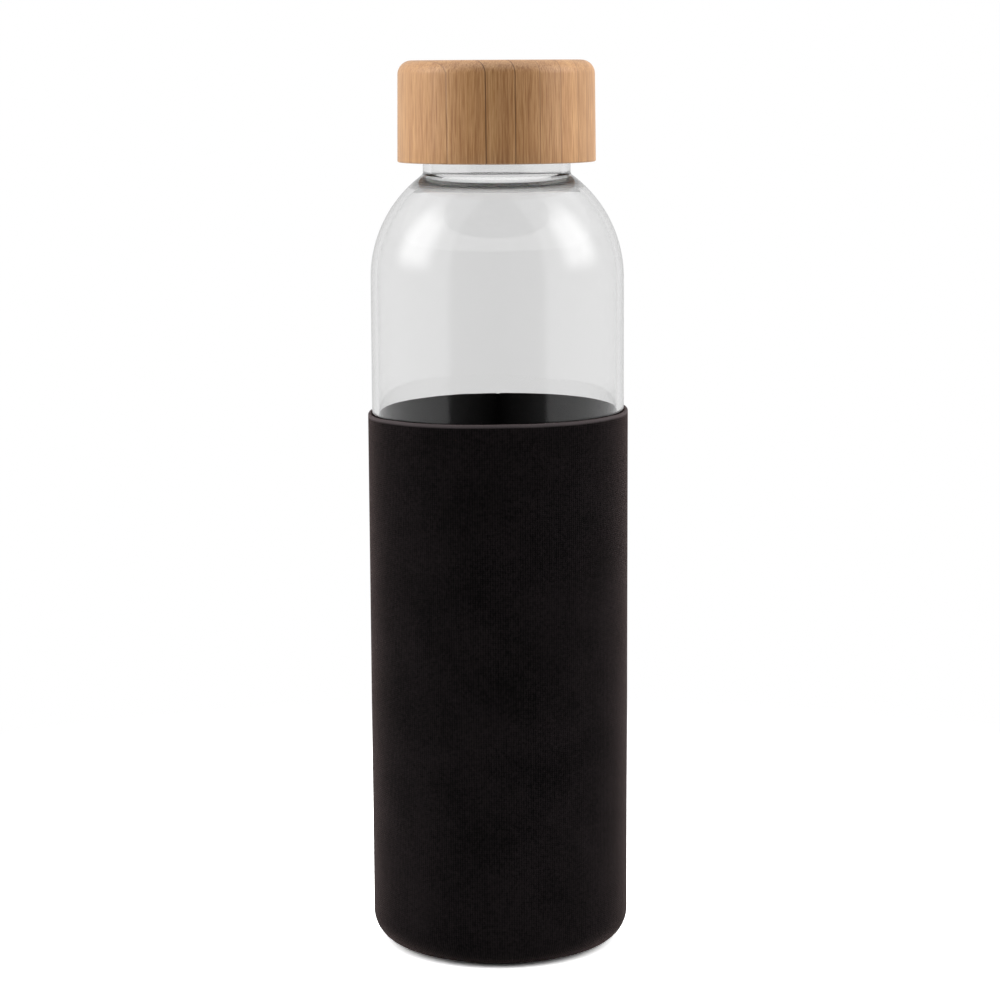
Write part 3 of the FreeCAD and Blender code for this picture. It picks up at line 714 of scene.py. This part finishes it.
# stitches, in mm and degrees: a zigzag up the back and one round the base
stitchShape = {
    "thread": 0.19, "flatten": 0.72, "twist": 40, "half": 1.85, "pitch": 2.5, "sides": 8, "sections": 9,
    "sink": 0.35, "rise": 0.05, "topMargin": 3.5, "heelAngle": 60,
}
lean = math.atan2(stitchShape["pitch"], 2 * stitchShape["half"])


def makeStitch():
    # one leg of the zigzag, lying along +X with its ends dived into the sheet, about the origin
    s = stitchShape
    deselect()
    bpy.ops.mesh.primitive_circle_add(vertices=s["sides"], radius=s["thread"] * mm, fill_type="NGON",
                                      location=(-s["half"] * mm, 0, -s["sink"] * mm), rotation=(0, math.pi / 2, 0))
    stitch = bpy.context.object
    bpy.ops.object.mode_set(mode="EDIT")
    bpy.ops.mesh.select_all(action="SELECT")
    bpy.ops.transform.resize(value=(1, 1, s["flatten"]))  # two plies side by side
    last = Vector((-s["half"], 0, -s["sink"]))
    for i in range(1, s["sections"]):
        along = -1 + 2 * i / (s["sections"] - 1)
        place = Vector((along * s["half"], 0, s["rise"] - (s["sink"] + s["rise"]) * abs(along) ** 5))
        bpy.ops.mesh.extrude_region_move(TRANSFORM_OT_translate={"value": (place - last) * mm})
        bpy.ops.transform.rotate(value=math.radians(s["twist"]), orient_axis="X", center_override=place * mm)
        last = place
    bpy.ops.mesh.select_all(action="SELECT")
    bpy.ops.mesh.normals_make_consistent(inside=False)
    bpy.ops.object.mode_set(mode="OBJECT")
    return stitch


def sewRow(name, stitch, places, material, replaced):
    # copies the stitch to each place, a matrix, and joins the row
    row = []
    for place in places:
        pick(stitch)
        bpy.ops.object.duplicate()
        leg = bpy.context.object
        leg.matrix_world = place @ leg.matrix_world
        row.append(leg)
    deselect()
    for leg in row:
        leg.select_set(True)
    bpy.context.view_layer.objects.active = row[0]
    bpy.ops.object.join()
    joined = bpy.context.object
    joined.name = joined.data.name = name
    bpy.ops.object.transform_apply(location=True, rotation=True, scale=True)
    finishPiece(joined, "sleeve", material, replaced, 60)
    return joined


def sideSeamPlaces():
    # up the back, then from there down round the heel: X across the seam, Z out of the cloth
    s, w = stitchShape, sleeveShape
    heelCentre, centreHeight = glassRadius - w["heel"], w["base"] + w["heel"]
    places = []
    height = centreHeight
    flip = 1
    while height < rimTop - s["topMargin"]:
        share = (height - centreHeight) / (rimTop - centreHeight)
        radius = w["lowRadius"] + (w["topRadius"] - w["lowRadius"]) * share
        places.append(Matrix.Translation(Vector((0, radius, height)) * mm)
                      @ Matrix.Rotation(-math.pi / 2, 4, "X") @ Matrix.Rotation(flip * lean, 4, "Z"))
        height += s["pitch"]
        flip = -flip
    radius = w["lowRadius"] - heelCentre
    step = s["pitch"] / radius
    for i in range(1, int(math.radians(s["heelAngle"]) / step) + 1):
        angle = i * step
        place = Vector((0, heelCentre + radius * math.cos(angle), centreHeight - radius * math.sin(angle)))
        places.append(Matrix.Translation(place * mm) @ Matrix.Rotation(-math.pi / 2 - angle, 4, "X")
                      @ Matrix.Rotation((-1) ** i * lean, 4, "Z"))
    return places


def baseSeamPlaces():
    # round the underside: X across the seam, Z down
    s, w = stitchShape, sleeveShape
    count = 2 * round(math.pi * w["seamRadius"] / s["pitch"])
    places = []
    for i in range(count):
        angle = 2 * math.pi * (i + 0.5) / count
        places.append(Matrix.Rotation(angle, 4, "Z")
                      @ Matrix.Translation(Vector((w["seamRadius"], 0, w["seamDepth"])) * mm)
                      @ Matrix.Rotation(math.pi, 4, "X") @ Matrix.Rotation((-1) ** i * lean, 4, "Z"))
    return places


# bonded polyester, twisted from two plies: black, with a faint silky shine
threadMaterial, tree, shader = newMaterial("polyesterTwisted", "#1E1B1C", Roughness=0.5, IOR=1.5, Sheen_Weight=0.3)
spot = addNode(tree, "TexCoord").outputs["Object"]
plies = addNode(tree, "TexNoise", in_Vector=spot, in_Scale=3500.0, in_Detail=1.0)
strand = addNode(tree, "ValToRGB", in_Fac=plies)
setStops(strand, [(0, linear("#141213")), (1, linear("#332E2F"))])
tree.links.new(strand.outputs[0], shader.inputs["Base Color"])
skin = addNode(tree, "Bump", in_Height=plies, in_Strength=0.4, in_Distance=0.04 * mm)
tree.links.new(skin.outputs[0], shader.inputs["Normal"])

stitch = makeStitch()
sideRow = sewRow("sideSeamStitches", stitch, sideSeamPlaces(), threadMaterial, ["side_seam_stitches"])
baseRow = sewRow("baseSeamStitches", stitch, baseSeamPlaces(), threadMaterial, ["base_seam_stitches"])
bpy.data.objects.remove(stitch)
